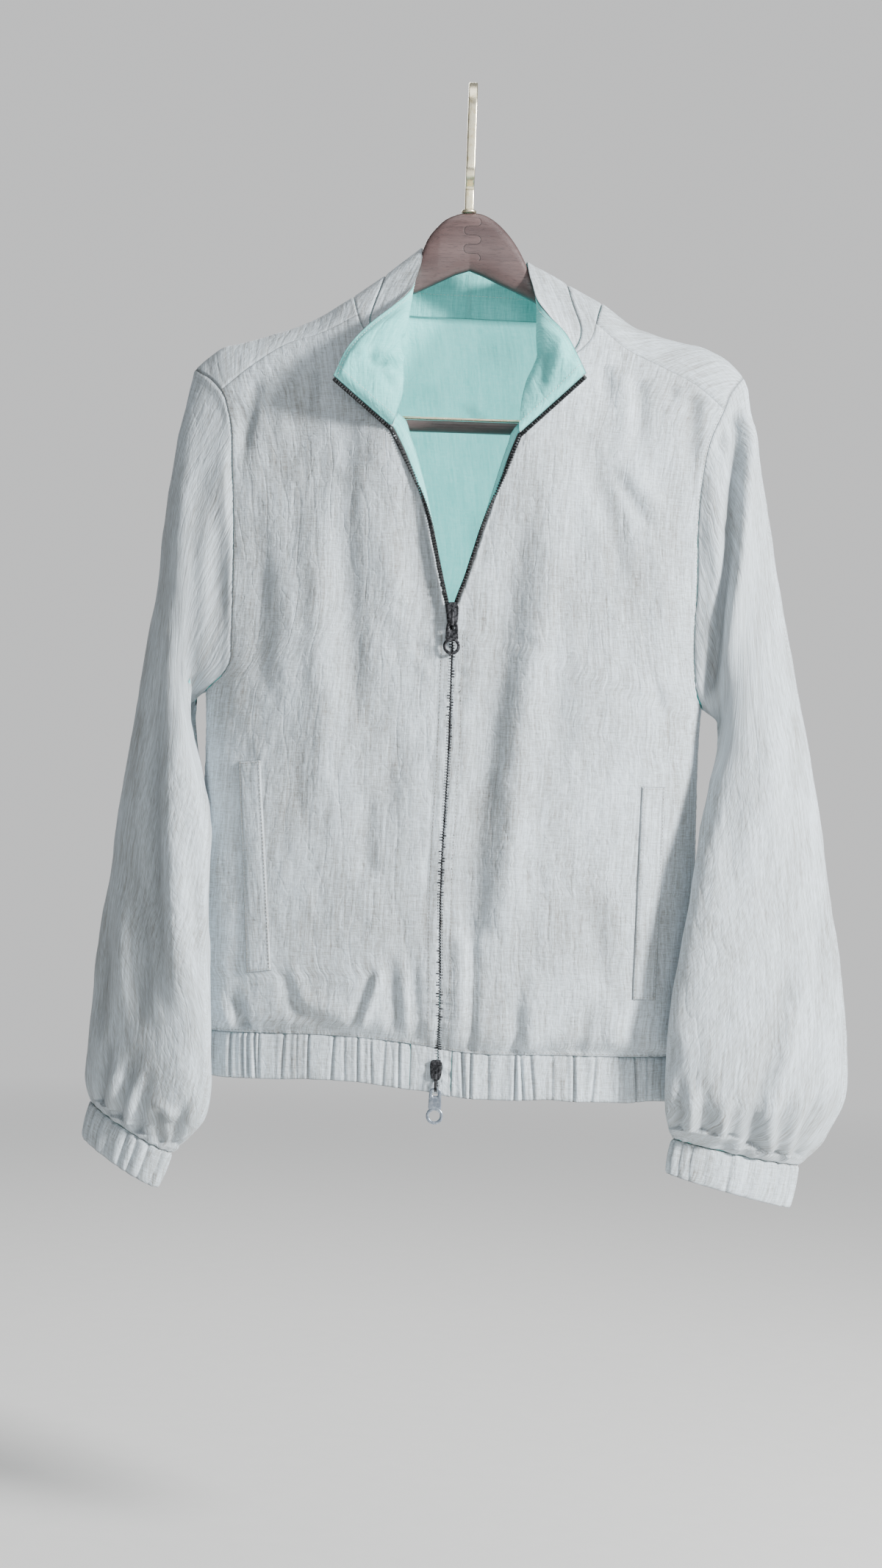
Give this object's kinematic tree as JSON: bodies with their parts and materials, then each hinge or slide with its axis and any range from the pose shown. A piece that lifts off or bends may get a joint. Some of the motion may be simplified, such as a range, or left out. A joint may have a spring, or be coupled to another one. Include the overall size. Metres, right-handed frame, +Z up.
{
  "type": "bomber jacket on a clothes hanger",
  "caption": "Light stone linen bomber jacket with a mint lining, stand collar, half open zip and gathered hem and cuffs, hung on a wooden hanger with a brass hook.",
  "frame": {"origin": "inner top of the hook, where it bears on its rail, in the middle of the hook's width", "axes": "+X to the viewer's right across the shoulders, +Y towards the jacket's back, +Z up"},
  "size_m": [0.6336, 0.1176, 0.9255],
  "materials": {
    "stone_linen": "matt linen weave",
    "mint_linen": "matt linen weave",
    "gunmetal": "dark satin",
    "walnut": "satin varnish",
    "brass": "brushed"
  },
  "bodies": {
    "jacket": {"front_left": "stone_linen", "front_right": "stone_linen", "back": "stone_linen", "sleeve_left": "stone_linen", "sleeve_right": "stone_linen", "cuff_left": "stone_linen", "cuff_right": "stone_linen", "waistband_left": "stone_linen", "waistband_right": "stone_linen", "waistband_back": "stone_linen", "zip_tab_left": "stone_linen", "zip_tab_right": "stone_linen", "pocket_welt_left": "stone_linen", "pocket_welt_right": "stone_linen", "collar": "stone_linen", "collar_wedge": "stone_linen", "collar_lining": "mint_linen", "back_lining": "mint_linen", "zip_left": "gunmetal", "zip_right": "gunmetal", "slider_upper": "gunmetal", "slider_lower": "gunmetal", "hanger_arms": "walnut", "trouser_bar": "walnut", "hook": "brass", "bar_rod": "brass"},
    "pull_upper": {"pull_tab_upper": "gunmetal"},
    "pull_lower": {"pull_tab_lower": "gunmetal"}
  },
  "joints": [
    {"name": "upper_pull_swing", "type": "hinge", "parent": "jacket", "child": "pull_upper", "pos_m": [-0.002, -0.06128, -0.447], "axis": [-1, 0, 0], "range_deg": [0, 140]},
    {"name": "lower_pull_swing", "type": "hinge", "parent": "jacket", "child": "pull_lower", "pos_m": [-0.0026, -0.04855, -0.8255], "axis": [-1, 0, 0], "range_deg": [0, 140]}
  ]
}
